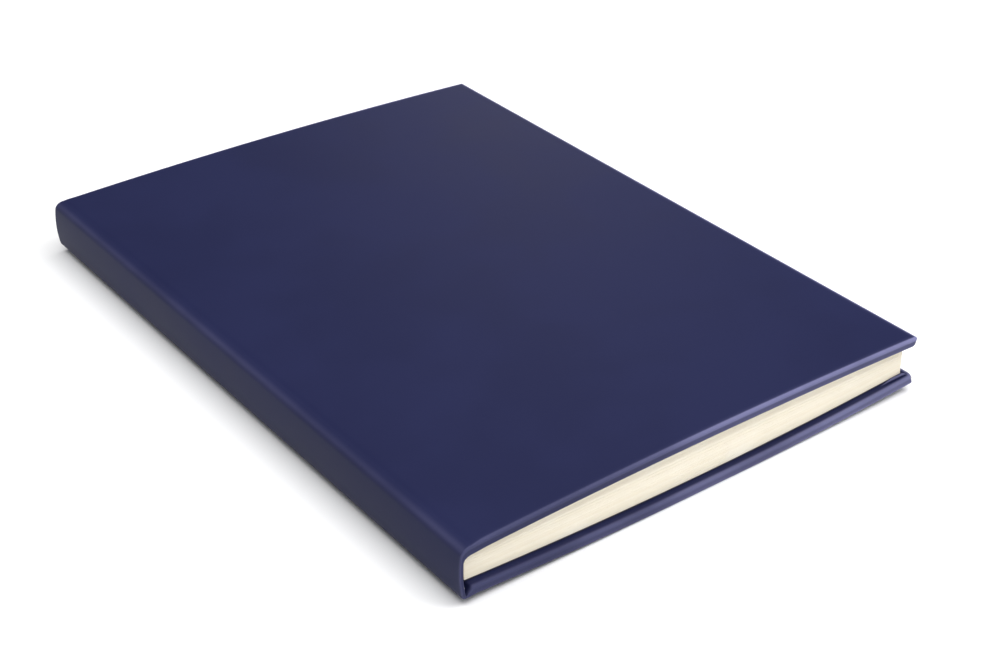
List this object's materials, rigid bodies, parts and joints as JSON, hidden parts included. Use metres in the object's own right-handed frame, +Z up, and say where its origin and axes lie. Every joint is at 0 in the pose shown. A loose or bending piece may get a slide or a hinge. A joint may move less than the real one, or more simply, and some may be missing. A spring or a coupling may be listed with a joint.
{
  "type": "pilot logbook",
  "caption": "Plain hardcover pilot logbook, case-bound in smooth navy leatherette, with sewn sections, bowed boards and an opening case.",
  "frame": {"origin": "on the table, under the middle of the closed book", "axes": "+X from the spine to the fore-edge, +Y from tail to head, +Z up through the closed book"},
  "size_m": [0.1548, 0.216, 0.0186],
  "materials": {
    "leatherette": "smooth satin navy leatherette with a very fine grain",
    "greyboard": "matt grey binder's board",
    "spine_card": "matt thin card",
    "endpaper": "matt dark navy-grey endpaper",
    "leaves": "matt cream ledger paper, cut edges",
    "thread": "waxed linen thread",
    "mull": "open-weave starched cotton",
    "kraft_paper": "matt brown kraft paper"
  },
  "bodies": {
    "back_cover": {"back_board": "greyboard", "back_cover_leatherette": "leatherette", "back_pastedown": "endpaper"},
    "spine": {"spine_stiffener": "spine_card", "spine_leatherette": "leatherette"},
    "front_cover": {"front_board": "greyboard", "front_cover_leatherette": "leatherette", "front_pastedown": "endpaper"},
    "back_flyleaf": {"back_flyleaf": "endpaper"},
    "section_01": {"section_01": "leaves"},
    "section_02": {"section_02": "leaves"},
    "section_03": {"section_03": "leaves"},
    "section_04": {"section_04": "leaves"},
    "section_05": {"section_05": "leaves"},
    "section_06": {"section_06": "leaves", "sewing_thread": "thread", "mull": "mull", "spine_lining": "kraft_paper"},
    "section_07": {"section_07": "leaves"},
    "section_08": {"section_08": "leaves"},
    "section_09": {"section_09": "leaves"},
    "section_10": {"section_10": "leaves"},
    "section_11": {"section_11": "leaves"},
    "section_12": {"section_12": "leaves"},
    "front_flyleaf": {"front_flyleaf": "endpaper"}
  },
  "joints": [
    {"name": "front_cover_hinge", "type": "hinge", "parent": "spine", "child": "front_cover", "pos_m": [-0.07523, 0, 0.01562], "axis": [0, -1, 0], "range_deg": [0, 90]},
    {"name": "spine_hinge", "type": "hinge", "parent": "back_cover", "child": "spine", "pos_m": [-0.07523, 0, 0.0036], "axis": [0, -1, 0], "range_deg": [0, 90]},
    {"name": "back_flyleaf_turn", "type": "hinge", "parent": "back_cover", "child": "back_flyleaf", "pos_m": [-0.07435, 0, 0.00509], "axis": [0, -1, 0], "range_deg": [0, 8]},
    {"name": "section_01_turn", "type": "hinge", "parent": "back_flyleaf", "child": "section_01", "pos_m": [-0.07435, 0, 0.00529], "axis": [0, -1, 0], "range_deg": [0, 12]},
    {"name": "section_02_turn", "type": "hinge", "parent": "section_01", "child": "section_02", "pos_m": [-0.07435, 0, 0.00601], "axis": [0, -1, 0], "range_deg": [0, 7]},
    {"name": "section_03_turn", "type": "hinge", "parent": "section_02", "child": "section_03", "pos_m": [-0.07435, 0, 0.00673], "axis": [0, -1, 0], "range_deg": [0, 7]},
    {"name": "section_04_turn", "type": "hinge", "parent": "section_03", "child": "section_04", "pos_m": [-0.07435, 0, 0.00745], "axis": [0, -1, 0], "range_deg": [0, 7]},
    {"name": "section_05_turn", "type": "hinge", "parent": "section_04", "child": "section_05", "pos_m": [-0.07435, 0, 0.00817], "axis": [0, -1, 0], "range_deg": [0, 7]},
    {"name": "section_06_turn", "type": "hinge", "parent": "section_05", "child": "section_06", "pos_m": [-0.07435, 0, 0.00888], "axis": [0, -1, 0], "range_deg": [0, 7]},
    {"name": "section_07_turn", "type": "hinge", "parent": "section_06", "child": "section_07", "pos_m": [-0.07435, 0, 0.0096], "axis": [0, -1, 0], "range_deg": [0, 70], "deforming": ["sewing_thread", "mull", "spine_lining"]},
    {"name": "section_08_turn", "type": "hinge", "parent": "section_07", "child": "section_08", "pos_m": [-0.07435, 0, 0.01032], "axis": [0, -1, 0], "range_deg": [0, 7]},
    {"name": "section_09_turn", "type": "hinge", "parent": "section_08", "child": "section_09", "pos_m": [-0.07435, 0, 0.01104], "axis": [0, -1, 0], "range_deg": [0, 7]},
    {"name": "section_10_turn", "type": "hinge", "parent": "section_09", "child": "section_10", "pos_m": [-0.07435, 0, 0.01176], "axis": [0, -1, 0], "range_deg": [0, 7]},
    {"name": "section_11_turn", "type": "hinge", "parent": "section_10", "child": "section_11", "pos_m": [-0.07435, 0, 0.01248], "axis": [0, -1, 0], "range_deg": [0, 7]},
    {"name": "section_12_turn", "type": "hinge", "parent": "section_11", "child": "section_12", "pos_m": [-0.07435, 0, 0.0132], "axis": [0, -1, 0], "range_deg": [0, 7]},
    {"name": "front_flyleaf_turn", "type": "hinge", "parent": "section_12", "child": "front_flyleaf", "pos_m": [-0.07435, 0, 0.01391], "axis": [0, -1, 0], "range_deg": [0, 12]}
  ],
  "couplings": [
    {"joint": "spine_hinge", "follows": "front_cover_hinge", "ratio": 1},
    {"joint": "back_flyleaf_turn", "follows": "front_cover_hinge", "ratio": 0.088889},
    {"joint": "section_01_turn", "follows": "front_cover_hinge", "ratio": 0.13333},
    {"joint": "section_02_turn", "follows": "front_cover_hinge", "ratio": 0.077778},
    {"joint": "section_03_turn", "follows": "front_cover_hinge", "ratio": 0.077778},
    {"joint": "section_04_turn", "follows": "front_cover_hinge", "ratio": 0.077778},
    {"joint": "section_05_turn", "follows": "front_cover_hinge", "ratio": 0.077778},
    {"joint": "section_06_turn", "follows": "front_cover_hinge", "ratio": 0.077778},
    {"joint": "section_07_turn", "follows": "front_cover_hinge", "ratio": 0.77778},
    {"joint": "section_08_turn", "follows": "front_cover_hinge", "ratio": 0.077778},
    {"joint": "section_09_turn", "follows": "front_cover_hinge", "ratio": 0.077778},
    {"joint": "section_10_turn", "follows": "front_cover_hinge", "ratio": 0.077778},
    {"joint": "section_11_turn", "follows": "front_cover_hinge", "ratio": 0.077778},
    {"joint": "section_12_turn", "follows": "front_cover_hinge", "ratio": 0.077778},
    {"joint": "front_flyleaf_turn", "follows": "front_cover_hinge", "ratio": 0.13333}
  ]
}
